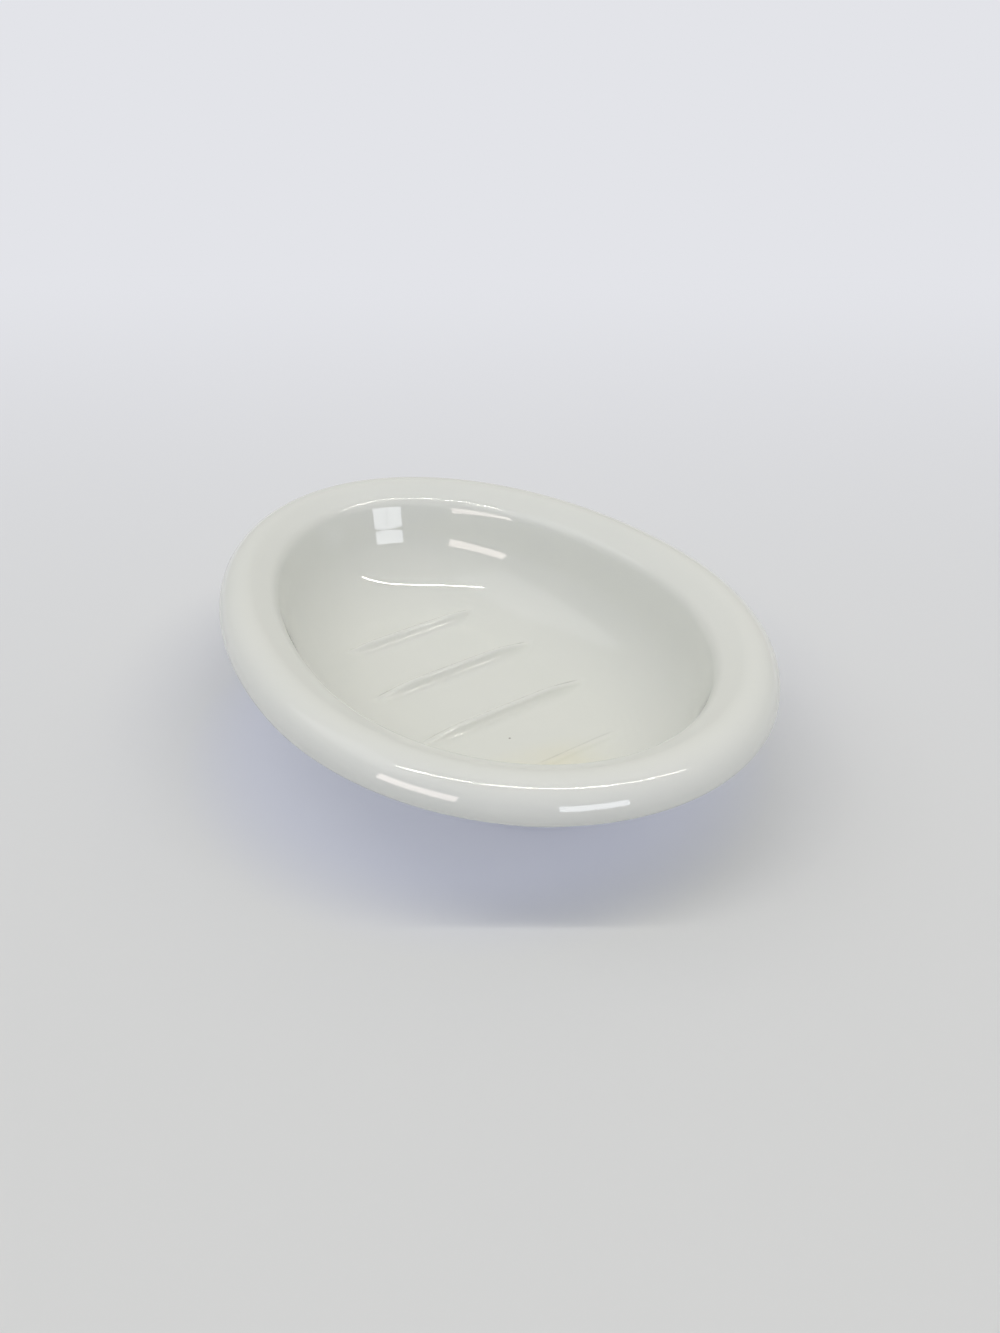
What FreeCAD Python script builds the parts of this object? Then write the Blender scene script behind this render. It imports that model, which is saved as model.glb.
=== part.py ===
import FreeCAD, Part
import math
import os
import Sketcher

# An oval soap dish: one glazed ceramic casting that stands on four silicone pads.
# Frame: millimetres, +Z up, Z = 0 on the surface that the pads rest on. X runs along
# the dish, with its blunt end at +X, and the origin is under the middle of its box.

SIZES = {
    # Plan of the rim, an egg oval whose widest line stands off the middle, toward +X.
    "dish_length": "140",
    "dish_width": "105",
    "widest_shift": "7.5",
    "dish_height": "33.4",
    # Rim: a roll over the outer edge, whose top slopes in to the lip of the basin.
    "rim_thickness": "7.4",
    "rim_under_round": "1.8",
    "rim_edge_land": "0.2",
    "lip_inset": "12.5",
    "lip_round": "4",
    # Basin: leaning walls that sweep into the floor.
    "wall_batter": "6.4",
    "floor_round": "20.5",
    "floor_thickness": "6.4",
    # Bowl under the rim, and the flat foot that it stands on.
    "bowl_top_inset": "6.5",
    "bowl_join_round": "3",
    "bowl_waist_step": "0.2",
    "bowl_waist_round": "10",
    "foot_inset": "28.5",
    "foot_height": "2",
    "foot_round": "0.8",
    "foot_recess": "1",
    # Ribs that hold the soap clear of the water on the floor, with soft feet.
    "rib_spacing": "19.6",
    "rib_width": "11",
    "rib_height": "1.8",
    "rib_crest_radius": "1.2",
    "rib_sink": "0.15",
    # Self-adhesive pads, each seated in a shallow round recess of the foot.
    "pad_diameter": "8",
    "pad_thickness": "2",
    "pad_round": "0.6",
    "pad_margin": "6.2",
    "pad_seat_depth": "0.6",
    "pad_seat_clearance": "0.2",
    # How far a cut runs past the face that it starts from.
    "cut_overrun": "1",
}
RIB_COUNT = 4
# An end arc of the oval meets a side arc where the outline faces this share of a right
# angle away from the long axis, and the pads stand where it faces the second share.
JOIN_ANGLE_SHARE = 0.61
PAD_ANGLE_SHARE = 0.68
# A round that rolls inside the oval stays within this share of the narrow end's radius.
ROLL_LIMIT_SHARE = 0.95
# The waist of the bowl stands at this share of the way from its foot up to the rim.
BOWL_WAIST_SHARE = 0.52
# The rim's top slopes in to the lip at this share of a right angle.
RIM_SLOPE_SHARE = 0.31
# The hollow under the foot takes this share of its width, and the land for the pads the rest.
FOOT_HOLLOW_SHARE = 0.29
# Each pad's end and side of the dish.
PADS = {
    "pad_blunt_left": ("blunt", "left"),
    "pad_narrow_left": ("narrow", "left"),
    "pad_narrow_right": ("narrow", "right"),
    "pad_blunt_right": ("blunt", "right"),
}
SAME_PLACE = 1e-4

join_angle = JOIN_ANGLE_SHARE * math.pi / 2
along_share = math.cos(join_angle)
across_share = math.sin(join_angle)
gain_share = along_share + across_share - 1
slope_angle = RIM_SLOPE_SHARE * math.pi / 2
fall_share = math.tan(slope_angle)
# A roll of radius 1 on the edge between the rim's side and its slope tops out this much
# below that edge.
edge_share = 1 / math.tan((math.pi / 2 - slope_angle) / 2) - 1

# What follows from the driving sizes: the oval's radii, the insets and the levels.
DERIVED = {
    "half_width": "dish_width / 2",
    "blunt_reach": "dish_length / 2 - widest_shift",
    "narrow_reach": "dish_length / 2 + widest_shift",
    "blunt_spread": f"(blunt_reach - half_width) / {gain_share}",
    "narrow_spread": f"(narrow_reach - half_width) / {gain_share}",
    "blunt_end_radius": f"blunt_reach - blunt_spread * {along_share}",
    "narrow_end_radius": f"narrow_reach - narrow_spread * {along_share}",
    "blunt_side_radius": f"half_width + blunt_spread * {across_share}",
    "narrow_side_radius": f"half_width + narrow_spread * {across_share}",
    "rim_top_round": "rim_thickness - rim_under_round - rim_edge_land",
    "rim_under_level": "dish_height - rim_thickness",
    "rim_edge_level": f"dish_height + rim_top_round * {edge_share}",
    "lip_level": f"rim_edge_level - lip_inset * {fall_share}",
    "foot_face_level": "pad_thickness - pad_seat_depth",
    "foot_top_level": "foot_face_level + foot_height",
    "waist_level": f"foot_top_level + (rim_under_level - foot_top_level) * {BOWL_WAIST_SHARE}",
    "floor_level": "foot_face_level + floor_thickness",
    "wall_foot_inset": "lip_inset + wall_batter",
    "waist_inset": "lip_inset + bowl_waist_step",
    "hollow_inset": f"half_width - (half_width - foot_inset) * {FOOT_HOLLOW_SHARE}",
    "pad_line_inset": "foot_inset + pad_margin",
    "rib_rise": "rib_height + rib_sink",
    "rib_foot_radius": "(rib_width ^ 2 / 4 + rib_rise ^ 2) / (2 * rib_rise) - rib_crest_radius",
}
OVAL_RADII = ("blunt_end_radius", "blunt_side_radius", "narrow_side_radius", "narrow_end_radius")

doc = FreeCAD.newDocument("soap_dish")


def fill_sheet():
    """Put the driving sizes and what follows from them in the sheet, one aliased cell each."""
    table = doc.addObject("Spreadsheet::Sheet", "dims")
    formulas = {alias: f"={text}" for alias, text in DERIVED.items()}
    for row, (alias, text) in enumerate({**SIZES, **formulas}.items(), start=1):
        table.set(f"A{row}", alias)
        table.set(f"B{row}", text)
        table.setAlias(f"B{row}", alias)
    doc.recompute()
    return table


sheet = fill_sheet()


def value(formula):
    """The number that a formula of sheet names gives now, to place a first guess."""
    return float(sheet.evalExpression(formula))


def new_body(label):
    body = doc.addObject("PartDesign::Body", label)
    body.Label = label
    return body


def new_sketch(body, name, role, origin):
    """A sketch on one of the body's own planes, its origin moved by three formulas."""
    sketch = body.newObject("Sketcher::SketchObject", name)
    plane = next(item for item in body.Origin.OriginFeatures if item.Role == role)
    sketch.AttachmentSupport = [(plane, "")]
    sketch.MapMode = "FlatFace"
    for axis, formula in zip("xyz", origin):
        sketch.setExpression(f"AttachmentOffset.Base.{axis}", formula)
    return sketch


# In a constraint the numbers 1, 2 and 3 after a curve stand for its start, end and
# centre, -1 and -2 for the sketch's X and Y axes, and the pair -1, 1 for its origin.
def constrain(sketch, kind, *terms):
    return sketch.addConstraint(Sketcher.Constraint(kind, *terms))


def set_size(sketch, name, formula, kind, *terms):
    """Add a dimension to a sketch, name it and bind it to the sheet."""
    index = constrain(sketch, kind, *terms, value(formula))
    sketch.renameConstraint(index, name)
    sketch.setExpression(f"Constraints.{name}", formula)


def add_arc(sketch, across, up, radius, first, last):
    """An arc of a circle about a centre, from one angle to another."""
    circle = Part.Circle(FreeCAD.Vector(across, up, 0), FreeCAD.Vector(0, 0, 1), radius)
    return sketch.addGeometry(Part.ArcOfCircle(circle, first, last), False)


def add_line(sketch, first, last):
    line = Part.LineSegment(FreeCAD.Vector(*first, 0), FreeCAD.Vector(*last, 0))
    return sketch.addGeometry(line, False)


def join_smoothly(sketch, loop):
    """Make each curve of a closed loop end where the next one starts, with no corner."""
    for one, other in zip(loop, loop[1:] + loop[:1]):
        constrain(sketch, "Tangent", one, 2, other, 1)


def oval(body, name, inset, height):
    """The rim's plan moved inwards by one formula, at the height of another: six tangent arcs."""
    sketch = new_sketch(body, name, "XY_Plane", ("dims.widest_shift", "0", height))
    sizes = {radius: f"dims.{radius} - ({inset})" for radius in OVAL_RADII}
    blunt_end, blunt_side, narrow_side, narrow_end = (value(size) for size in sizes.values())
    blunt, narrow = value("dims.blunt_spread"), value("dims.narrow_spread")
    right, half = math.pi / 2, math.pi
    arcs = [
        add_arc(sketch, blunt * along_share, 0, blunt_end, -join_angle, join_angle),
        add_arc(sketch, 0, -blunt * across_share, blunt_side, join_angle, right),
        add_arc(sketch, 0, -narrow * across_share, narrow_side, right, half - join_angle),
        add_arc(sketch, -narrow * along_share, 0, narrow_end, half - join_angle, half + join_angle),
        add_arc(sketch, 0, narrow * across_share, narrow_side, half + join_angle, half + right),
        add_arc(sketch, 0, blunt * across_share, blunt_side, half + right, 2 * half - join_angle),
    ]
    join_smoothly(sketch, arcs)
    for end in (arcs[0], arcs[3]):
        constrain(sketch, "PointOnObject", end, 3, -1)
    for side in (arcs[1], arcs[2], arcs[4], arcs[5]):
        constrain(sketch, "PointOnObject", side, 3, -2)
    constrain(sketch, "Equal", arcs[1], arcs[5])
    for arc, (radius, size) in zip(arcs, sizes.items()):
        set_size(sketch, radius, size, "Radius", arc)
    set_size(sketch, "half_width", f"dims.half_width - ({inset})", "DistanceY", -1, 1, arcs[1], 2)
    return sketch


def stadium(body, name, inset, height):
    """A long hole with round ends, whose sides and tips stand at an inset from the rim's plan."""
    sketch = new_sketch(body, name, "XY_Plane", ("dims.widest_shift", "0", height))
    radius = f"dims.half_width - {inset}"
    blunt = "dims.blunt_reach - dims.half_width"
    narrow = "dims.narrow_reach - dims.half_width"
    half, front, back = value(radius), value(blunt), -value(narrow)
    loop = [
        add_arc(sketch, front, 0, half, -math.pi / 2, math.pi / 2),
        add_line(sketch, (front, half), (back, half)),
        add_arc(sketch, back, 0, half, math.pi / 2, math.pi * 3 / 2),
        add_line(sketch, (back, -half), (front, -half)),
    ]
    join_smoothly(sketch, loop)
    for end in (loop[0], loop[2]):
        constrain(sketch, "PointOnObject", end, 3, -1)
    set_size(sketch, "end_radius", radius, "Radius", loop[0])
    set_size(sketch, "blunt_centre", blunt, "DistanceX", -1, 1, loop[0], 3)
    set_size(sketch, "narrow_centre", narrow, "DistanceX", loop[2], 3, -1, 1)
    return sketch


def disc(body, name, diameter, origin):
    """A circle about the sketch's own origin."""
    sketch = new_sketch(body, name, "XY_Plane", origin)
    circle = Part.Circle(FreeCAD.Vector(), FreeCAD.Vector(0, 0, 1), value(diameter) / 2)
    index = sketch.addGeometry(circle, False)
    constrain(sketch, "Coincident", index, 3, -1, 1)
    set_size(sketch, "across", diameter, "Diameter", index)
    return sketch


def rib_section(body, name, station):
    """A soft hump across a rib: a crest between two hollow flanks, on a root below the floor."""
    sketch = new_sketch(body, name, "XZ_Plane", (station, "dims.floor_level - dims.rib_sink", "0"))
    reach, rise = value("dims.rib_width / 2"), value("dims.rib_rise")
    crest, foot = value("dims.rib_crest_radius"), value("dims.rib_foot_radius")
    root = value("dims.cut_overrun")
    lean = math.atan2(crest + foot - rise, reach)
    right = add_arc(sketch, reach, foot, foot, math.pi + lean, math.pi * 3 / 2)
    top = add_arc(sketch, 0, rise - crest, crest, lean, math.pi - lean)
    left = add_arc(sketch, -reach, foot, foot, -math.pi / 2, -lean)
    left_side = add_line(sketch, (-reach, 0), (-reach, -root))
    base = add_line(sketch, (-reach, -root), (reach, -root))
    right_side = add_line(sketch, (reach, -root), (reach, 0))
    constrain(sketch, "Tangent", top, 1, right, 1)
    constrain(sketch, "Tangent", top, 2, left, 2)
    constrain(sketch, "Coincident", left, 1, left_side, 1)
    constrain(sketch, "Coincident", left_side, 2, base, 1)
    constrain(sketch, "Coincident", base, 2, right_side, 1)
    constrain(sketch, "Coincident", right_side, 2, right, 2)
    constrain(sketch, "Vertical", right, 2, right, 3)
    constrain(sketch, "Vertical", left, 1, left, 3)
    constrain(sketch, "Vertical", left_side)
    constrain(sketch, "Vertical", right_side)
    constrain(sketch, "Horizontal", base)
    constrain(sketch, "Symmetric", right, 2, left, 1, -2)
    constrain(sketch, "PointOnObject", right, 2, -1)
    constrain(sketch, "Equal", left, right)
    set_size(sketch, "width", "dims.rib_width", "Distance", base)
    set_size(sketch, "root", "dims.cut_overrun", "Distance", left_side)
    set_size(sketch, "crest", "dims.rib_crest_radius", "Radius", top)
    set_size(sketch, "foot", "dims.rib_foot_radius", "Radius", right)
    return sketch


def extrude(body, kind, name, sketch, length, reverse=False, symmetric=False):
    """A Pad or Pocket of a sketch, its length bound to the sheet."""
    feature = body.newObject(f"PartDesign::{kind}", name)
    feature.Profile = sketch
    feature.Reversed = reverse
    feature.SideType = "Symmetric" if symmetric else "One side"
    feature.setExpression("Length", length)
    doc.recompute()
    return feature


def loft(body, kind, name, sections):
    """Straight walls through a row of ovals."""
    feature = body.newObject(f"PartDesign::{kind}", name)
    feature.Profile = sections[0]
    feature.Sections = sections[1:]
    feature.Ruled = True
    doc.recompute()
    return feature


def fillet(body, name, radius, inset, height):
    """A round on the last feature's edges that follow the rim's plan at an inset and a height."""
    base = body.Tip
    level = value(height)
    radii = [value(f"dims.{size} - ({inset})") for size in OVAL_RADII]
    edges = []
    for number, edge in enumerate(base.Shape.Edges, start=1):
        if isinstance(edge.Curve, Part.Circle) and abs(edge.Curve.Center.z - level) < SAME_PLACE:
            if any(abs(edge.Curve.Radius - size) < SAME_PLACE for size in radii):
                edges.append(f"Edge{number}")
    feature = body.newObject("PartDesign::Fillet", name)
    feature.Base = (base, edges)
    feature.setExpression("Radius", radius)
    doc.recompute()
    return feature


def pad_place(end, side):
    """Formulas for a pad's place on the land of the foot, at a margin from its edge."""
    angle = PAD_ANGLE_SHARE * math.pi / 2
    x_sign = "+" if end == "blunt" else "-"
    y_sign = 1 if side == "left" else -1
    radius = f"dims.{end}_side_radius"
    x = f"dims.widest_shift {x_sign} ({radius} - dims.pad_line_inset) * {math.cos(angle)}"
    y = f"(({radius} - dims.pad_line_inset) * {math.sin(angle)} - {radius} + dims.half_width) * {y_sign}"
    return x, y


def make_core():
    """The shape of the basin's hollow, as the core of its mould: the ribs are grooves in it."""
    body = new_body("basin_core")
    loft(body, "AdditiveLoft", "hollow", [
        oval(body, "basin_mouth", "dims.lip_inset", "dims.rim_edge_level + dims.cut_overrun"),
        oval(body, "basin_lip", "dims.lip_inset", "dims.lip_level"),
        oval(body, "basin_floor", "dims.wall_foot_inset", "dims.floor_level"),
    ])
    roll_limit = f"(dims.narrow_end_radius - dims.wall_foot_inset) * {ROLL_LIMIT_SHARE}"
    fillet(body, "floor_sweep", f"min(dims.floor_round; {roll_limit})",
           "dims.wall_foot_inset", "dims.floor_level")
    section = rib_section(body, "rib_section", f"dims.rib_spacing * {-(RIB_COUNT - 1) / 2}")
    groove = extrude(body, "Pocket", "rib", section, "dims.dish_width", symmetric=True)
    ribs = body.newObject("PartDesign::LinearPattern", "ribs")
    ribs.Originals = [groove]
    ribs.Direction = (section, ["H_Axis"])
    ribs.Occurrences = RIB_COUNT
    ribs.setExpression("Length", f"dims.rib_spacing * {RIB_COUNT - 1}")
    body.Tip = ribs
    doc.recompute()
    return body


def make_dish(core):
    body = new_body("dish_body")
    # The rim and the bowl under it, down to the foot.
    extrude(body, "Pad", "rim", oval(body, "rim_plan", "0", "dims.rim_under_level"),
            "dims.rim_edge_level - dims.rim_under_level")
    loft(body, "AdditiveLoft", "bowl", [
        oval(body, "bowl_top", "dims.bowl_top_inset", "dims.rim_under_level"),
        oval(body, "bowl_waist", "dims.waist_inset", "dims.waist_level"),
        oval(body, "bowl_base", "dims.foot_inset", "dims.foot_top_level"),
    ])
    extrude(body, "Pad", "foot", oval(body, "foot_plan", "dims.foot_inset", "dims.foot_face_level"),
            "dims.foot_height")
    fillet(body, "rim_under_bullnose", "dims.rim_under_round", "0", "dims.rim_under_level")
    fillet(body, "bowl_join", "dims.bowl_join_round", "dims.bowl_top_inset", "dims.rim_under_level")
    fillet(body, "bowl_swell", "dims.bowl_waist_round", "dims.waist_inset", "dims.waist_level")
    fillet(body, "foot_edge", "dims.foot_round", "dims.foot_inset", "dims.foot_face_level")
    # The basin with its ribs, and the rim's top that slopes in from its rolled edge to the lip.
    basin = body.newObject("PartDesign::Boolean", "basin")
    basin.Type = "Cut"
    basin.setObjects([core])
    doc.recompute()
    loft(body, "SubtractiveLoft", "rim_slope", [
        oval(body, "slope_start", "-dims.cut_overrun",
             f"dims.rim_edge_level + dims.cut_overrun * {fall_share}"),
        oval(body, "lip_line", "dims.lip_inset", "dims.lip_level"),
    ])
    fillet(body, "rim_roll", "dims.rim_top_round", "0", "dims.rim_edge_level")
    fillet(body, "lip_roll", "dims.lip_round", "dims.lip_inset", "dims.lip_level")
    # The foot's hollow middle, and a seat for each pad.
    hollow = stadium(body, "foot_hollow_plan", "dims.hollow_inset", "dims.foot_face_level")
    extrude(body, "Pocket", "foot_hollow", hollow, "dims.foot_recess", reverse=True)
    for label, place in PADS.items():
        seat = disc(body, f"{label}_seat_plan", "dims.pad_diameter + 2 * dims.pad_seat_clearance",
                    (*pad_place(*place), "dims.foot_face_level"))
        extrude(body, "Pocket", f"{label}_seat", seat, "dims.pad_seat_depth", reverse=True)
    return body


def make_pad(label, place):
    """A round pad with an eased lower edge, flat against the top of its seat."""
    body = new_body(label)
    plan = disc(body, f"{label}_plan", "dims.pad_diameter", ("0", "0", "0"))
    base = extrude(body, "Pad", f"{label}_disc", plan, "dims.pad_thickness")
    edges = [f"Edge{number}" for number, edge in enumerate(base.Shape.Edges, start=1)
             if edge.BoundBox.ZMax < SAME_PLACE]
    eased = body.newObject("PartDesign::Fillet", f"{label}_eased")
    eased.Base = (base, edges)
    eased.setExpression("Radius", "dims.pad_round")
    for axis, formula in zip("xy", pad_place(*place)):
        body.setExpression(f"Placement.Base.{axis}", formula)
    doc.recompute()
    return body


def check(parts):
    """Stop if any object failed, or if a piece isn't one sound solid."""
    for item in doc.Objects:
        if "Invalid" in item.State or "Error" in item.State:
            raise RuntimeError(f"{item.Name} failed: {item.State}")
    for piece in parts:
        if piece.Shape.isNull() or not piece.Shape.isValid() or len(piece.Shape.Solids) != 1:
            raise RuntimeError(f"{piece.Label} is not one sound solid")


parts = [make_dish(make_core())]
for pad_label, pad_corner in PADS.items():
    parts.append(make_pad(pad_label, pad_corner))
doc.recompute()
check(parts)
os.makedirs("parts", exist_ok=True)
for piece in parts:
    piece.Shape.exportStep(f"parts/{piece.Label}.step")
    box = piece.Shape.BoundBox
    print(piece.Label, "volume", round(piece.Shape.Volume), "box", box)
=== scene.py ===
"""Oval soap dish of glazed vitreous china on four silicone pads, dressed for a studio picture."""
import math

import bmesh
import bpy
from mathutils import Matrix, Vector


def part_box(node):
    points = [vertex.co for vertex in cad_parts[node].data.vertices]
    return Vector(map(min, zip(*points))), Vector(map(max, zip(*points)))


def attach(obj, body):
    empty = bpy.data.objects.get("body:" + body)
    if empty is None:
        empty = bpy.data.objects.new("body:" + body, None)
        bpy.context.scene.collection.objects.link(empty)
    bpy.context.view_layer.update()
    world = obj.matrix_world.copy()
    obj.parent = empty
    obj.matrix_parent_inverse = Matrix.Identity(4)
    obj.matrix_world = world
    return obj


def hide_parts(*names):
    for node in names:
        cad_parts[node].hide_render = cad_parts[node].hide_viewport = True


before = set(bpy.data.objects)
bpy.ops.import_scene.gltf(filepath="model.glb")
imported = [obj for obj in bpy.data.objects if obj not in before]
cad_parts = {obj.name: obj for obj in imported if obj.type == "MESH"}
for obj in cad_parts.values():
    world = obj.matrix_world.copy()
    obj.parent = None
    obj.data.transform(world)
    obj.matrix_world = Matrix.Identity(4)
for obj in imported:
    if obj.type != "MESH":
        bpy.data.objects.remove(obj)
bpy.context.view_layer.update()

bl_info = {
    "name": "Oval soap dish",
    "version": (1, 0, 0),
    "blender": (4, 5, 0),
    "location": "View3D > Sidebar > Soap dish",
    "description": "Casts the glazed soap dish, fits its pads and sets the studio",
    "category": "Object",
}

MM = 0.001
PAD_NODES = ("pad_blunt_left", "pad_blunt_right", "pad_narrow_left", "pad_narrow_right")
DISH_LOW, DISH_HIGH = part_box("dish_body")

# How finely the casting is drawn: round the oval, along its section and across each rib.
RING_STEPS = 288
ARC_STEP = math.radians(5)
FEWEST_ARC_STEPS = 4
CLAY_STRETCH = 2.0 * MM
GLAZE_STRETCH = 0.9 * MM
WELD_DISTANCE = 0.001 * MM
RIB_CUTS = 10
# Shares of the full rib height, from the narrow end on; the rib at the blunt end is the lowest.
RIB_HEIGHT_SHARES = (0.95, 1.0, 0.9, 0.35)
# Material slots of the casting.
GLAZE_SLOT = 0
CLAY_SLOT = 1

# The soap's film lies on the basin floor by the rib at the blunt end.
STAIN_PLACE = (33 * MM, -10 * MM, 9 * MM)
STAIN_REACH = (14 * MM, 26 * MM, 8 * MM)

# The camera, fitted to the photograph: angles in degrees, places from the middle of the rim.
CAMERA_AZIMUTH = 55.266
CAMERA_ELEVATION = 33.779
CAMERA_ROLL = 0.175
CAMERA_DISTANCE = 228.336 * MM
CAMERA_SIDE = 4.923 * MM
CAMERA_LIFT = -15.469 * MM
CAMERA_NEAREST = 10 * MM
FOCAL_PIXELS = 1080
PHOTO_HEIGHT = 1333
SENSOR_SIZE = 36.0

# The paper floor: where painted light pales it with distance, and where a painted cool glow keeps the dish's
# shadow light.
FLOOR_RADIUS = 12.0
FLOOR_SEGMENTS = 96
PALE_FROM = -140 * MM
PALE_TO = 400 * MM
SHADE_INNER = 48 * MM
SHADE_OUTER = 76 * MM
SHADE_LIFT = 0.5
COOL_INNER = 60 * MM
COOL_OUTER = 100 * MM

# The lamps: sizes in metres; a place is (azimuth, elevation, distance) as studio_place takes it.
TUBE_RIGHT = 0.09
TUBE_NEARER = 0.167
TUBE_HEIGHT = 1.0
TUBE_SIZE = (1.62, 0.016)
LEFT_FILL_PLACE = (-95, 48, 1.6)
LEFT_FILL_SIZE = (1.2, 0.8)
FRONT_FILL_PLACE = (180, 12, 1.5)
FRONT_FILL_SIZE = (1.6, 0.5)
LEFT_PANEL_AZIMUTH = -136
RIGHT_PANEL_AZIMUTH = 160
PANEL_SPREAD = 7
PANEL_ELEVATION = 10
PANEL_DISTANCE = 1.5
PANEL_SIZE = (0.36, 0.5)


def linear(hex_colour):
    """Turn an sRGB hex colour into linear red, green, blue."""
    values = [int(hex_colour[start:start + 2], 16) / 255 for start in (1, 3, 5)]
    return [v / 12.92 if v <= 0.04045 else ((v + 0.055) / 1.055) ** 2.4 for v in values]


def length_property(name, description, metres):
    """A length, shown in the scene's own unit."""
    return bpy.props.FloatProperty(
        name=name, description=description, default=metres, unit="LENGTH", precision=4
    )


def colour_property(name, description, hex_colour):
    """A colour swatch whose default is an sRGB hex value."""
    return bpy.props.FloatVectorProperty(
        name=name, description=description, default=linear(hex_colour), subtype="COLOR",
        size=3, min=0.0, max=1.0
    )


def strength_property(name, description, radiance):
    """A lamp's strength, as the radiance of its face."""
    return bpy.props.FloatProperty(name=name, description=description, default=radiance, min=0.0)


def add_node(tree, kind, sockets=None, **settings):
    """Add a node, set its options, and fill or link its input sockets."""
    node = tree.nodes.new(kind)
    for option, choice in settings.items():
        setattr(node, option, choice)
    for socket, value in (sockets or {}).items():
        if isinstance(value, bpy.types.NodeSocket):
            tree.links.new(value, node.inputs[socket])
        else:
            node.inputs[socket].default_value = value
    return node


def empty_material(name):
    """A material with no nodes in it yet."""
    material = bpy.data.materials.new(name)
    material.use_nodes = True
    material.node_tree.nodes.clear()
    return material, material.node_tree


class DishShape(bpy.types.PropertyGroup):
    """Sizes of the cast dish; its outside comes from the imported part."""

    length: length_property("Length", "Outside length over the rim", DISH_HIGH.x - DISH_LOW.x)
    width: length_property("Width", "Outside width over the rim", DISH_HIGH.y - DISH_LOW.y)
    crown_level: length_property("Crown level", "Height of the rim's crown above the table", DISH_HIGH.z)
    foot_level: length_property("Foot level", "Height of the foot's face above the table", DISH_LOW.z)
    widest_shift: length_property("Widest shift", "How far the widest place lies from the middle", 7.5 * MM)
    rim_thickness: length_property("Rim thickness", "Height of the rolled rim's edge", 7.4 * MM)
    rim_top_round: length_property("Rim roll", "Radius of the rim's roll over its outer edge", 5.4 * MM)
    rim_under_round: length_property("Rim under round", "Rounding of the rim's outer lower edge", 1.8 * MM)
    rim_slope: bpy.props.FloatProperty(
        name="Rim slope", description="How steeply the rim's top falls to the lip", subtype="ANGLE",
        default=math.radians(27.9)
    )
    lip_inset: length_property("Lip inset", "From the outer edge to the inner lip", 12.5 * MM)
    lip_round: length_property("Lip round", "Rounding of the inner lip", 4 * MM)
    wall_batter: length_property("Wall batter", "How far the inner wall leans in to the floor", 6.4 * MM)
    floor_round: length_property("Floor round", "Radius of the sweep from wall to floor", 20.5 * MM)
    floor_thickness: length_property("Floor thickness", "China under the basin floor", 6.4 * MM)
    rib_spacing: length_property("Rib spacing", "Between the crests of two ribs", 19.6 * MM)
    rib_height: length_property("Rib height", "Of a crest above the basin floor", 2.2 * MM)
    rib_width: length_property("Rib width", "Between the feet of a rib's two flanks", 7.6 * MM)
    rib_crest: length_property("Rib crest", "Radius of a rib's crest", 0.8 * MM)
    rib_full: length_property("Rib full", "From the long axis to where a rib starts to sink away", 10 * MM)
    rib_end: length_property("Rib end", "From the long axis to where a rib is gone", 27 * MM)
    rib_sink: length_property("Rib sink", "Depth of a rib's root under the basin floor", 0.15 * MM)
    rib_blend: length_property("Rib blend", "How softly a rib runs out in the floor's sweep", 0.3 * MM)
    bowl_inset: length_property("Bowl inset", "Where the bowl meets the rim's underside", 6.5 * MM)
    bowl_round: length_property("Bowl round", "Rounding where the bowl meets the rim", 2.5 * MM)
    waist_inset: length_property("Waist inset", "Of the bowl's waist from the outer edge", 12.7 * MM)
    waist_share: bpy.props.FloatProperty(
        name="Waist share", description="Share of the way up from the foot to the rim at the waist",
        subtype="FACTOR", default=0.52, min=0.0, max=1.0
    )
    waist_round: length_property("Waist round", "Radius of the bowl's swell at its waist", 10 * MM)
    foot_inset: length_property("Foot inset", "Of the foot from the outer edge", 28.5 * MM)
    foot_height: length_property("Foot height", "Of the upright foot", 2 * MM)
    foot_top_round: length_property("Foot top round", "Rounding where the bowl meets the foot", 1 * MM)
    foot_edge: length_property("Foot edge", "Rounding of the foot's lower edge", 0.8 * MM)
    foot_land: length_property("Foot land", "Width of the bare face that the pads sit on", 17 * MM)
    foot_recess: length_property("Foot recess", "Depth of the hollow inside the foot", 1 * MM)
    recess_round: length_property("Recess round", "Rounding of the hollow's edges", 0.4 * MM)
    glaze_line: length_property("Glaze line", "From the foot's side to where the glaze starts", 1.2 * MM)


class DishFinish(bpy.types.PropertyGroup):
    """Colours of the finishes."""

    glaze: colour_property("Glaze", "Warm off-white glaze", "#E2E3DC")
    glaze_thick: colour_property("Thick glaze", "Where the glaze pooled a little greyer", "#DDDFD8")
    stain: colour_property("Soap stain", "Faint yellow film left by soap", "#E2DDC0")
    pinhole: colour_property("Pinhole", "Iron specks under the glaze", "#77726A")
    clay: colour_property("Bare clay", "Unglazed foot face", "#D9D2C4")
    pad: colour_property("Silicone", "Translucent white silicone of the pads", "#D8DADB")


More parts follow.
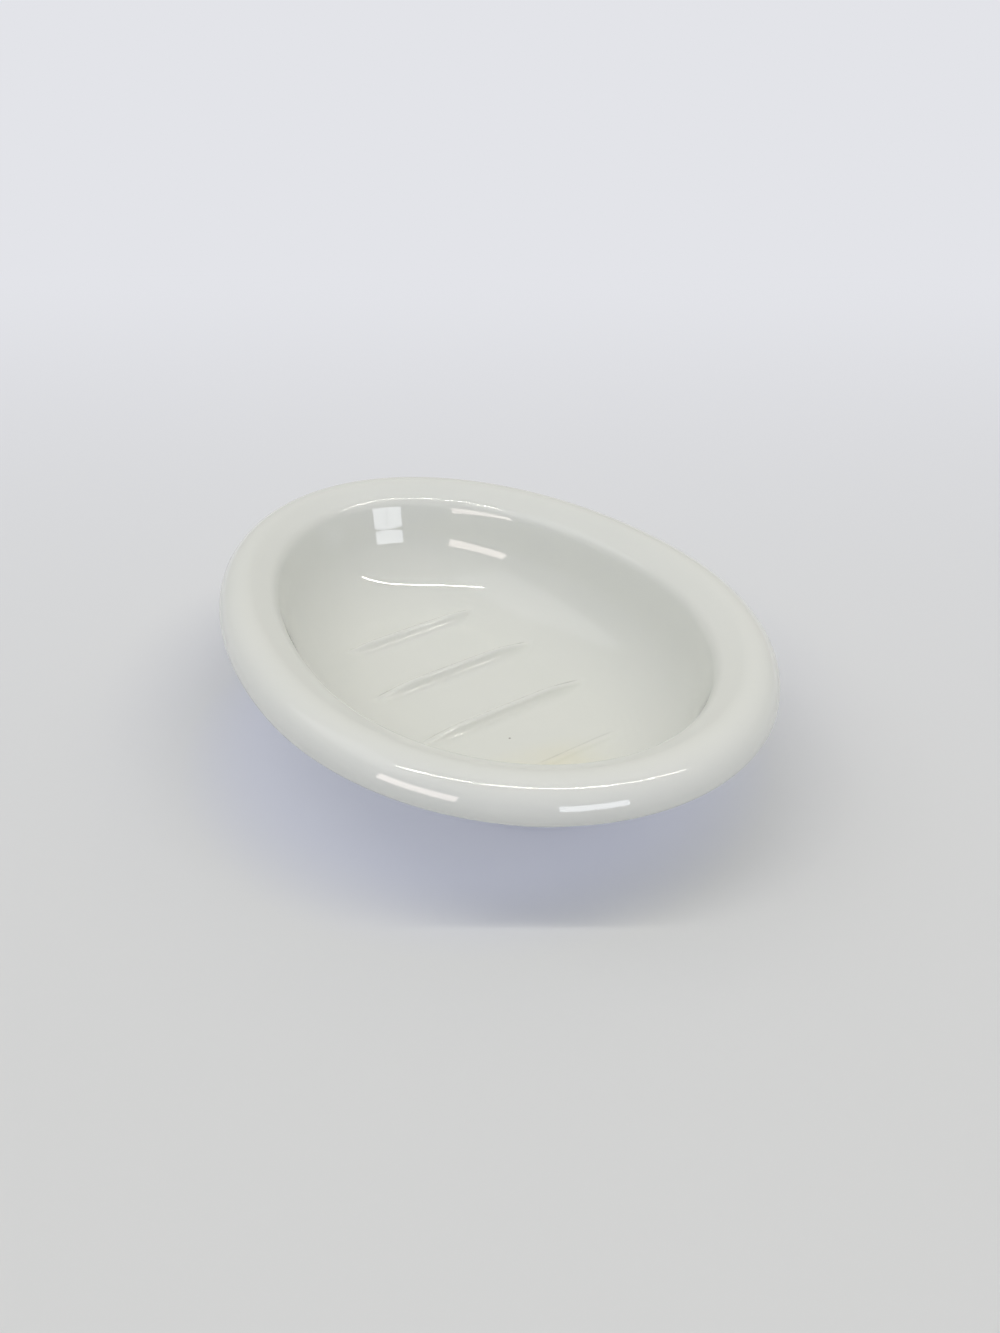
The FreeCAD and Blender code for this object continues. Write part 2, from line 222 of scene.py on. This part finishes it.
class StudioStage(bpy.types.PropertyGroup):
    """Colours and strengths of the studio around the dish."""

    floor: colour_property("Floor", "Pale paper floor near the dish", "#DBDCDB")
    # Seen as the pale background, and as painted light that pales the far paper floor.
    backdrop: colour_property("Backdrop", "Paler paper further back", "#E3E4E9")
    # Painted light: a cool glow on the paper, seen but lighting nothing, that lightens the dish's shadow.
    painted_shadow_glow: colour_property("Haze", "Cool light that stays in the dish's shadow", "#C4C8DC")
    soft_near: colour_property("Soft light, near", "Soft light from the camera's side", "#C0C4D7")
    soft_far: colour_property("Soft light, far", "Soft light from beyond the dish", "#DBDAD5")
    soft_strength: strength_property("Soft strength", "Of the light from all round", 0.77)
    tube: colour_property("Tube", "Long thin tube overhead", "#FFFBF0")
    tube_strength: strength_property("Tube strength", "Of the tube overhead", 63.0)
    left_fill: colour_property("Left fill", "Wide soft box high at the left", "#F7FAFF")
    left_fill_strength: strength_property("Left fill strength", "Of the soft box at the left", 0.8)
    front_fill: colour_property("Front fill", "Low soft box behind the camera", "#FFFAF6")
    front_fill_strength: strength_property("Front fill strength", "Of the low soft box", 0.65)
    left_panel: colour_property("Left panels", "Panels mirrored at the left of the rim", "#FFF1EC")
    right_panel: colour_property("Right panels", "Panels mirrored at the right of the rim", "#F4F7FF")
    panel_strength: strength_property("Panel strength", "Of the four mirrored panels", 6.5)


def glazed_vitreous_china(finish):
    """Vitreous china, slip cast and dipped in a clear-white glaze.

    To the eye: a warm off-white body under a glassy coat, with sharp reflections, slow cloudy
    changes in the glaze, a few iron specks and a yellow trace of soap by the nearest rib.
    """
    cloud_size = 26 * MM
    streak_size = 7 * MM
    speck_spacing = 17 * MM
    speck_core = 0.136 * MM
    speck_edge = 0.34 * MM
    peel_size = 9 * MM
    peel_depth = 0.1 * MM
    material, tree = empty_material("glazed vitreous china")
    place = add_node(tree, "ShaderNodeTexCoord").outputs["Object"]
    cloud = add_node(tree, "ShaderNodeTexNoise", {
        "Vector": place, "Scale": 1 / cloud_size, "Detail": 3.0, "Roughness": 0.5,
    }).outputs["Fac"]
    body = add_node(tree, "ShaderNodeMix", {
        0: cloud, 6: (*finish.glaze, 1.0), 7: (*finish.glaze_thick, 1.0),
    }, data_type="RGBA").outputs[2]
    # The film of soap is thickest in its middle and streaky all over.
    from_stain = add_node(tree, "ShaderNodeMapping", {
        "Vector": place, "Location": STAIN_PLACE, "Scale": STAIN_REACH,
    }, vector_type="TEXTURE")
    film_far = add_node(tree, "ShaderNodeVectorMath", {0: from_stain.outputs[0]}, operation="LENGTH")
    film = add_node(tree, "ShaderNodeMapRange", {
        "Value": film_far.outputs["Value"], "From Min": 0.2, "From Max": 1.0, "To Min": 1.0, "To Max": 0.0,
    }, interpolation_type="SMOOTHSTEP").outputs["Result"]
    streak = add_node(tree, "ShaderNodeTexNoise", {
        "Vector": place, "Scale": 1 / streak_size, "Detail": 4.0,
    }).outputs["Fac"]
    stain = add_node(tree, "ShaderNodeMath", {0: film, 1: streak}, operation="MULTIPLY").outputs[0]
    stained = add_node(tree, "ShaderNodeMix", {
        0: stain, 6: body, 7: (*finish.stain, 1.0),
    }, data_type="RGBA").outputs[2]
    # Iron specks about half a millimetre across, a few of them on the whole dish.
    grains = add_node(tree, "ShaderNodeTexVoronoi", {"Vector": place, "Scale": 1 / speck_spacing})
    speck = add_node(tree, "ShaderNodeMapRange", {
        "Value": grains.outputs["Distance"], "From Min": speck_core / speck_spacing,
        "From Max": speck_edge / speck_spacing, "To Min": 0.75, "To Max": 0.0,
    }).outputs["Result"]
    specked = add_node(tree, "ShaderNodeMix", {
        0: speck, 6: stained, 7: (*finish.pinhole, 1.0),
    }, data_type="RGBA").outputs[2]
    peel = add_node(tree, "ShaderNodeTexNoise", {
        "Vector": place, "Scale": 1 / peel_size, "Detail": 1.0,
    }).outputs["Fac"]
    bump = add_node(tree, "ShaderNodeBump", {
        "Height": peel, "Strength": 0.1, "Distance": peel_depth,
    }).outputs["Normal"]
    dulled = add_node(tree, "ShaderNodeMapRange", {
        "Value": film, "To Min": 0.02, "To Max": 0.14,
    }).outputs["Result"]
    shader = add_node(tree, "ShaderNodeBsdfPrincipled", {
        "Base Color": specked, "Roughness": dulled, "IOR": 1.5, "Normal": bump,
    })
    add_node(tree, "ShaderNodeOutputMaterial", {"Surface": shader.outputs["BSDF"]})
    return material


def bare_clay(finish):
    """Vitreous clay body where the foot was wiped clean of glaze before firing.

    To the eye: a matt, slightly sandy cream ring with a fine tooth.
    """
    grit_size = 0.8 * MM
    grit_depth = 0.1 * MM
    grit_shade = 0.86
    material, tree = empty_material("bare fired clay")
    place = add_node(tree, "ShaderNodeTexCoord").outputs["Object"]
    grit = add_node(tree, "ShaderNodeTexNoise", {"Vector": place, "Scale": 1 / grit_size, "Detail": 4.0})
    bump = add_node(tree, "ShaderNodeBump", {
        "Height": grit.outputs["Fac"], "Strength": 0.4, "Distance": grit_depth,
    })
    # The grit's tone is darker where its bump lies low.
    tone = add_node(tree, "ShaderNodeValToRGB", {"Fac": grit.outputs["Fac"]})
    tone.color_ramp.elements[0].color = (*[value * grit_shade for value in finish.clay], 1.0)
    tone.color_ramp.elements[1].color = (*finish.clay, 1.0)
    shader = add_node(tree, "ShaderNodeBsdfPrincipled", {
        "Base Color": tone.outputs["Color"], "Roughness": 0.85, "Normal": bump.outputs["Normal"],
    })
    add_node(tree, "ShaderNodeOutputMaterial", {"Surface": shader.outputs["BSDF"]})
    return material


def silicone_rubber(finish):
    """Silicone rubber, die cut from sheet.

    To the eye: a milky white with a soft satin skin and a faint mottling.
    """
    mottle_size = 1.5 * MM
    mottle_depth = 0.05 * MM
    mottle_shade = 0.92
    milky_depth = 1 * MM
    material, tree = empty_material("silicone rubber")
    place = add_node(tree, "ShaderNodeTexCoord").outputs["Object"]
    mottle = add_node(tree, "ShaderNodeTexNoise", {
        "Vector": place, "Scale": 1 / mottle_size, "Detail": 2.0,
    })
    tone = add_node(tree, "ShaderNodeValToRGB", {"Fac": mottle.outputs["Fac"]})
    tone.color_ramp.elements[0].color = (*[value * mottle_shade for value in finish.pad], 1.0)
    tone.color_ramp.elements[1].color = (*finish.pad, 1.0)
    bump = add_node(tree, "ShaderNodeBump", {
        "Height": mottle.outputs["Fac"], "Strength": 0.2, "Distance": mottle_depth,
    })
    shader = add_node(tree, "ShaderNodeBsdfPrincipled", {
        "Base Color": tone.outputs["Color"], "Roughness": 0.45, "IOR": 1.41,
        "Subsurface Weight": 0.3, "Subsurface Scale": milky_depth, "Normal": bump.outputs["Normal"],
    })
    add_node(tree, "ShaderNodeOutputMaterial", {"Surface": shader.outputs["BSDF"]})
    return material


def round_corners(corners):
    """Follow a chain of (inset, level, radius) corners, with each corner rounded to its radius."""
    chain = [Vector(corners[0][:2])]
    for before, here, after in zip(corners, corners[1:], corners[2:]):
        corner = Vector(here[:2])
        radius = here[2]
        back = (Vector(before[:2]) - corner).normalized()
        ahead = (Vector(after[:2]) - corner).normalized()
        half = back.angle(ahead) / 2
        centre = corner + (back + ahead).normalized() * radius / math.sin(half)
        start = corner + back * radius / math.tan(half) - centre
        end = corner + ahead * radius / math.tan(half) - centre
        across = Vector((-start.y, start.x))
        turn = math.atan2(start.x * end.y - start.y * end.x, start.dot(end))
        steps = max(FEWEST_ARC_STEPS, math.ceil(abs(turn) / ARC_STEP))
        for step in range(steps + 1):
            angle = turn * step / steps
            chain.append(centre + start * math.cos(angle) + across * math.sin(angle))
    chain.append(Vector(corners[-1][:2]))
    return chain


def fill_in(chain, longest):
    """Add points along a chain so that no stretch is longer than the given length."""
    filled = [chain[0]]
    for start, end in zip(chain, chain[1:]):
        pieces = max(1, math.ceil((end - start).length / longest))
        filled += [start.lerp(end, piece / pieces) for piece in range(1, pieces + 1)]
    return filled


def dish_section(shape):
    """The casting's section as two chains of (inset, level): the bare clay, then all that is glazed."""
    middle = shape.width / 2
    foot = shape.foot_level
    foot_top = foot + shape.foot_height
    recess = foot + shape.foot_recess
    floor = foot + shape.floor_thickness
    rim_under = shape.crown_level - shape.rim_thickness
    # The roll over the rim's outer edge tops out at the crown, so its sharp corner lies above it.
    corner_half = (math.pi / 2 - shape.rim_slope) / 2
    rim_corner = shape.crown_level + shape.rim_top_round * (1 / math.tan(corner_half) - 1)
    lip = rim_corner - shape.lip_inset * math.tan(shape.rim_slope)
    waist = foot_top + (rim_under - foot_top) * shape.waist_share
    land_inset = shape.foot_inset + shape.foot_land
    glaze_inset = shape.foot_inset + shape.glaze_line
    clay = [
        (middle, recess, 0),
        (land_inset, recess, shape.recess_round),
        (land_inset, foot, shape.recess_round),
        (glaze_inset, foot, 0),
    ]
    glazed = [
        (glaze_inset, foot, 0),
        (shape.foot_inset, foot, shape.foot_edge),
        (shape.foot_inset, foot_top, shape.foot_top_round),
        (shape.waist_inset, waist, shape.waist_round),
        (shape.bowl_inset, rim_under, shape.bowl_round),
        (0.0, rim_under, shape.rim_under_round),
        (0.0, rim_corner, shape.rim_top_round),
        (shape.lip_inset, lip, shape.lip_round),
        (shape.lip_inset + shape.wall_batter, floor, shape.floor_round),
        (middle, floor, 0),
    ]
    return round_corners(clay), round_corners(glazed)


def rib_rise(shape, off_crest):
    """How far a rib stands above its root at a distance from its crest: crest arc, then hollow flank."""
    reach = shape.rib_width / 2
    rise = shape.rib_height + shape.rib_sink
    crest = shape.rib_crest
    hollow = (reach ** 2 + rise ** 2) / (2 * rise) - crest
    if off_crest >= reach:
        return 0.0
    if off_crest <= reach * crest / (crest + hollow):
        return rise - crest + math.sqrt(crest ** 2 - off_crest ** 2)
    return hollow - math.sqrt(hollow ** 2 - (reach - off_crest) ** 2)


def smooth_highest(first, second, blend):
    """The higher of two levels, with a soft crossing."""
    share = max(1 - abs(first - second) / blend, 0.0)
    return max(first, second) + blend / 4 * share * share


def cast_mesh(shape):
    """Sweep the section round the egg oval and raise the ribs on the basin floor."""
    clay, glazed = dish_section(shape)
    clay = fill_in(clay, CLAY_STRETCH)
    section = clay[:-1] + fill_in(glazed, GLAZE_STRETCH)
    glazed_from = len(clay) - 1
    blunt = shape.length / 2 - shape.widest_shift
    narrow = shape.length / 2 + shape.widest_shift
    half = shape.width / 2
    mesh = bmesh.new()
    rings = []
    for point in section:
        ring = []
        for step in range(RING_STEPS):
            angle = 2 * math.pi * step / RING_STEPS
            reach = blunt if math.cos(angle) > 0 else narrow
            x = shape.widest_shift + (reach - point.x) * math.cos(angle)
            y = (half - point.x) * math.sin(angle)
            ring.append(mesh.verts.new((x, y, point.y)))
        rings.append(ring)
    for index, (inner, outer) in enumerate(zip(rings, rings[1:])):
        for step in range(RING_STEPS):
            after = (step + 1) % RING_STEPS
            face = mesh.faces.new((inner[step], inner[after], outer[after], outer[step]))
            face.smooth = True
            face.material_index = GLAZE_SLOT if index >= glazed_from else CLAY_SLOT
    bmesh.ops.remove_doubles(mesh, verts=mesh.verts, dist=WELD_DISTANCE)
    bmesh.ops.recalc_face_normals(mesh, faces=mesh.faces)
    raise_ribs(mesh, shape)
    return mesh


def raise_ribs(mesh, shape):
    """Cut the basin floor along the ribs' crests and flanks, then lift it to their section."""
    floor = shape.foot_level + shape.floor_thickness
    top = floor + shape.rib_height + shape.rib_blend
    reach = shape.rib_width / 2
    middle = (len(RIB_HEIGHT_SHARES) - 1) / 2
    crests = {
        (place - middle) * shape.rib_spacing: share for place, share in enumerate(RIB_HEIGHT_SHARES)
    }
    for crest in crests:
        basin = [
            face for face in mesh.faces
            if face.normal.z > 0 and abs(face.calc_center_median().x - crest) < shape.rib_width
            and any(corner.co.z < top for corner in face.verts)
        ]
        for step in range(-RIB_CUTS, RIB_CUTS + 1):
            edges = {edge for face in basin for edge in face.edges}
            corners = {corner for face in basin for corner in face.verts}
            split = bmesh.ops.bisect_plane(
                mesh, geom=[*basin, *edges, *corners],
                plane_co=(crest + reach * step / RIB_CUTS, 0, 0), plane_no=(1, 0, 0)
            )
            basin = [part for part in split["geom"] if isinstance(part, bmesh.types.BMFace)]
    mesh.normal_update()
    for corner in [corner for corner in mesh.verts if corner.normal.z > 0 and corner.co.z < top]:
        rise = max(share * rib_rise(shape, abs(corner.co.x - crest)) for crest, share in crests.items())
        gone = (abs(corner.co.y) - shape.rib_full) / (shape.rib_end - shape.rib_full)
        gone = min(max(gone, 0.0), 1.0)
        level = floor - shape.rib_sink + rise * (1 - gone * gone * (3 - 2 * gone))
        corner.co.z = smooth_highest(corner.co.z, level, shape.rib_blend)


class SOAPDISH_OT_cast_dish(bpy.types.Operator):
    """Cast the dish in one piece, with its rolled rim, basin, ribs and foot, and glaze it"""

    bl_idname = "soap_dish.cast_dish"
    bl_label = "Cast dish"

    def execute(self, context):
        shape = context.scene.soap_dish_shape
        finish = context.scene.soap_dish_finish
        mesh = cast_mesh(shape)
        data = bpy.data.meshes.new("dish_casting")
        mesh.to_mesh(data)
        mesh.free()
        # In the order of GLAZE_SLOT and CLAY_SLOT.
        data.materials.append(glazed_vitreous_china(finish))
        data.materials.append(bare_clay(finish))
        dish = bpy.data.objects.new("dish_casting", data)
        context.scene.collection.objects.link(dish)
        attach(dish, "root")
        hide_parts("dish_body")
        return {"FINISHED"}


class SOAPDISH_OT_fit_pads(bpy.types.Operator):
    """Give the four pads under the foot their silicone rubber"""

    bl_idname = "soap_dish.fit_pads"
    bl_label = "Fit pads"

    def execute(self, context):
        rubber = silicone_rubber(context.scene.soap_dish_finish)
        for node in PAD_NODES:
            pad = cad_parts[node]
            pad.data.materials.clear()
            pad.data.materials.append(rubber)
        return {"FINISHED"}


def camera_heading():
    """The camera's forward and right directions on the table."""
    turn = math.radians(CAMERA_AZIMUTH)
    return Vector((-math.sin(turn), math.cos(turn), 0)), Vector((math.cos(turn), math.sin(turn), 0))


def studio_place(azimuth, elevation, distance):
    """A place round the dish; azimuth 0 lies beyond it as the camera looks and 90 to its right."""
    forward, right = camera_heading()
    turn = math.radians(azimuth)
    rise = math.radians(elevation)
    level = forward * math.cos(turn) + right * math.sin(turn)
    return (level * math.cos(rise) + Vector((0, 0, math.sin(rise)))) * distance


def seamless_paper(stage):
    """Matt seamless paper that keeps the dish's shadow; painted light makes it grow paler with distance and
    lightens that shadow.

    To the eye: a smooth grey-white without grain, a little cool in the dish's shadow, where a painted cool
    glow lightens it.
    """
    material, tree = empty_material("seamless paper")
    place = add_node(tree, "ShaderNodeTexCoord").outputs["Object"]
    reach = add_node(tree, "ShaderNodeVectorMath", {0: place}, operation="LENGTH").outputs["Value"]
    forward, _ = camera_heading()
    away = add_node(tree, "ShaderNodeVectorMath", {0: place, 1: forward}, operation="DOT_PRODUCT")
    # Painted light: the paper glows paler the further it lies from the camera.
    far = add_node(tree, "ShaderNodeMapRange", {
        "Value": away.outputs["Value"], "From Min": PALE_FROM, "From Max": PALE_TO,
    }, interpolation_type="SMOOTHSTEP").outputs["Result"]
    # Painted light: a cool glow lightens the paper in the dish's shadow.
    under = add_node(tree, "ShaderNodeMapRange", {
        "Value": reach, "From Min": SHADE_INNER, "From Max": SHADE_OUTER, "To Min": SHADE_LIFT, "To Max": 0.0,
    }, interpolation_type="SMOOTHSTEP").outputs["Result"]
    outside = add_node(tree, "ShaderNodeMapRange", {
        "Value": reach, "From Min": COOL_INNER, "From Max": COOL_OUTER,
    }, interpolation_type="SMOOTHSTEP").outputs["Result"]
    # The lift is painted light, seen and mirrored but lighting nothing: it pales the far paper and lightens
    # the dish's shadow with a cool glow.
    lift = add_node(tree, "ShaderNodeMath", {0: far, 1: under}, operation="MAXIMUM").outputs[0]
    sight = add_node(tree, "ShaderNodeLightPath")
    seen = add_node(tree, "ShaderNodeMath", {
        0: sight.outputs["Is Camera Ray"], 1: sight.outputs["Is Glossy Ray"],
    }, operation="MAXIMUM").outputs[0]
    share = add_node(tree, "ShaderNodeMath", {0: seen, 1: lift}, operation="MULTIPLY").outputs[0]
    tint = add_node(tree, "ShaderNodeMix", {
        0: outside, 6: (*stage.painted_shadow_glow, 1.0), 7: (*stage.backdrop, 1.0),
    }, data_type="RGBA").outputs[2]
    glow = add_node(tree, "ShaderNodeEmission", {"Color": tint, "Strength": 1.0})
    paper = add_node(tree, "ShaderNodeBsdfDiffuse", {"Color": (*stage.floor, 1.0)})
    mixed = add_node(tree, "ShaderNodeMixShader", {0: share, 1: paper.outputs[0], 2: glow.outputs[0]})
    add_node(tree, "ShaderNodeOutputMaterial", {"Surface": mixed.outputs[0]})
    return material


def lay_floor(stage):
    """Lay a wide round sheet of paper under the dish."""
    mesh = bmesh.new()
    bmesh.ops.create_circle(mesh, cap_ends=True, segments=FLOOR_SEGMENTS, radius=FLOOR_RADIUS)
    data = bpy.data.meshes.new("paper_floor")
    mesh.to_mesh(data)
    mesh.free()
    data.materials.append(seamless_paper(stage))
    floor = bpy.data.objects.new("paper_floor", data)
    bpy.context.scene.collection.objects.link(floor)


def hang_lamp(name, place, long_way, size, radiance, colour, fill=True, glint=True):
    """Hang a flat lamp that faces the dish, its long side along a direction.

    Without fill it lights nothing and is only mirrored; without glint it is never mirrored.
    """
    lamp = bpy.data.lights.new(name, "AREA")
    lamp.shape = "RECTANGLE"
    lamp.size, lamp.size_y = size
    # A flat face sends out pi times its radiance and area, in watts.
    lamp.energy = radiance * math.pi * size[0] * size[1]
    lamp.color = colour
    holder = bpy.data.objects.new(name, lamp)
    outward = place.normalized()
    along = (long_way - outward * long_way.dot(outward)).normalized()
    turned = Matrix((along, outward.cross(along), outward)).transposed().to_4x4()
    holder.matrix_world = Matrix.Translation(place) @ turned
    holder.visible_diffuse = fill
    holder.visible_glossy = glint
    bpy.context.scene.collection.objects.link(holder)


def hang_lamps(stage):
    """A long tube overhead, two soft fills, and two pairs of panels for the glaze to mirror."""
    forward, right = camera_heading()
    tube_place = right * TUBE_RIGHT - forward * TUBE_NEARER + Vector((0, 0, TUBE_HEIGHT))
    hang_lamp("overhead_tube", tube_place, right, TUBE_SIZE, stage.tube_strength, stage.tube)
    hang_lamp(
        "left_fill", studio_place(*LEFT_FILL_PLACE), forward, LEFT_FILL_SIZE,
        stage.left_fill_strength, stage.left_fill
    )
    hang_lamp(
        "front_fill", studio_place(*FRONT_FILL_PLACE), right, FRONT_FILL_SIZE,
        stage.front_fill_strength, stage.front_fill, glint=False
    )
    sides = (
        ("left_panel", LEFT_PANEL_AZIMUTH, stage.left_panel),
        ("right_panel", RIGHT_PANEL_AZIMUTH, stage.right_panel),
    )
    for name, azimuth, colour in sides:
        for half, shift in (("outer", -PANEL_SPREAD), ("inner", PANEL_SPREAD)):
            place = studio_place(azimuth + shift, PANEL_ELEVATION, PANEL_DISTANCE)
            across = Vector((0, 0, 1)).cross(place)
            hang_lamp(name + "_" + half, place, across, PANEL_SIZE, stage.panel_strength, colour, fill=False)


def light_world(stage):
    """Soft light from all round, cooler on the camera's side; the camera sees the pale backdrop."""
    world = bpy.data.worlds.new("studio")
    world.use_nodes = True
    tree = world.node_tree
    tree.nodes.clear()
    forward, _ = camera_heading()
    looking = add_node(tree, "ShaderNodeTexCoord").outputs["Generated"]
    away = add_node(tree, "ShaderNodeVectorMath", {0: looking, 1: forward}, operation="DOT_PRODUCT")
    share = add_node(tree, "ShaderNodeMapRange", {"Value": away.outputs["Value"], "From Min": -1.0})
    tint = add_node(tree, "ShaderNodeMix", {
        0: share.outputs["Result"], 6: (*stage.soft_near, 1.0), 7: (*stage.soft_far, 1.0),
    }, data_type="RGBA").outputs[2]
    soft = add_node(tree, "ShaderNodeBackground", {"Color": tint, "Strength": stage.soft_strength})
    pale = add_node(tree, "ShaderNodeBackground", {"Color": (*stage.backdrop, 1.0), "Strength": 1.0})
    sight = add_node(tree, "ShaderNodeLightPath")
    mixed = add_node(tree, "ShaderNodeMixShader", {
        0: sight.outputs["Is Camera Ray"], 1: soft.outputs[0], 2: pale.outputs[0],
    })
    add_node(tree, "ShaderNodeOutputWorld", {"Surface": mixed.outputs[0]})
    bpy.context.scene.world = world


def place_camera():
    """The photograph's view of the dish."""
    turn = math.radians(CAMERA_AZIMUTH)
    rise = math.radians(CAMERA_ELEVATION)
    lean = math.radians(CAMERA_ROLL)
    back = Vector((
        math.sin(turn) * math.cos(rise), -math.cos(turn) * math.cos(rise), math.sin(rise)
    ))
    level_right = Vector((0, 0, 1)).cross(back).normalized()
    level_up = back.cross(level_right)
    right = level_right * math.cos(lean) + level_up * math.sin(lean)
    up = back.cross(right)
    rim_middle = Vector((0, 0, DISH_HIGH.z))
    place = rim_middle + back * CAMERA_DISTANCE + level_right * CAMERA_SIDE + level_up * CAMERA_LIFT
    camera = bpy.data.cameras.new("studio_camera")
    camera.sensor_width = SENSOR_SIZE
    camera.lens = SENSOR_SIZE * FOCAL_PIXELS / PHOTO_HEIGHT
    camera.clip_start = CAMERA_NEAREST
    holder = bpy.data.objects.new("studio_camera", camera)
    holder.matrix_world = Matrix.Translation(place) @ Matrix((right, up, back)).transposed().to_4x4()
    bpy.context.scene.collection.objects.link(holder)
    bpy.context.scene.camera = holder


class SOAPDISH_OT_set_stage(bpy.types.Operator):
    """Lay the paper floor, hang the lamps and place the camera"""

    bl_idname = "soap_dish.set_stage"
    bl_label = "Set stage"

    def execute(self, context):
        stage = context.scene.soap_dish_stage
        lay_floor(stage)
        hang_lamps(stage)
        light_world(stage)
        place_camera()
        context.scene.view_settings.view_transform = "Standard"
        return {"FINISHED"}


class SOAPDISH_PT_sidebar(bpy.types.Panel):
    """The soap dish's pieces and their settings"""

    bl_idname = "SOAPDISH_PT_sidebar"
    bl_label = "Soap dish"
    bl_space_type = "VIEW_3D"
    bl_region_type = "UI"
    bl_category = "Soap dish"

    def draw(self, context):
        for operator in OPERATORS:
            self.layout.operator(operator.bl_idname)
        for group, kind in SETTINGS.items():
            for setting in kind.__annotations__:
                self.layout.prop(getattr(context.scene, group), setting)


SETTINGS = {
    "soap_dish_shape": DishShape,
    "soap_dish_finish": DishFinish,
    "soap_dish_stage": StudioStage,
}
OPERATORS = (SOAPDISH_OT_cast_dish, SOAPDISH_OT_fit_pads, SOAPDISH_OT_set_stage)
CLASSES = (*SETTINGS.values(), *OPERATORS, SOAPDISH_PT_sidebar)


def register():
    """Add the settings, operators and panel to Blender."""
    for kind in CLASSES:
        bpy.utils.register_class(kind)
    for group, kind in SETTINGS.items():
        setattr(bpy.types.Scene, group, bpy.props.PointerProperty(type=kind))


def unregister():
    """Take them away again."""
    for group in SETTINGS:
        delattr(bpy.types.Scene, group)
    for kind in reversed(CLASSES):
        bpy.utils.unregister_class(kind)


def main():
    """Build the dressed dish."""
    register()
    bpy.ops.soap_dish.cast_dish()
    bpy.ops.soap_dish.fit_pads()
    bpy.ops.soap_dish.set_stage()


if __name__ == "__main__":
    main()
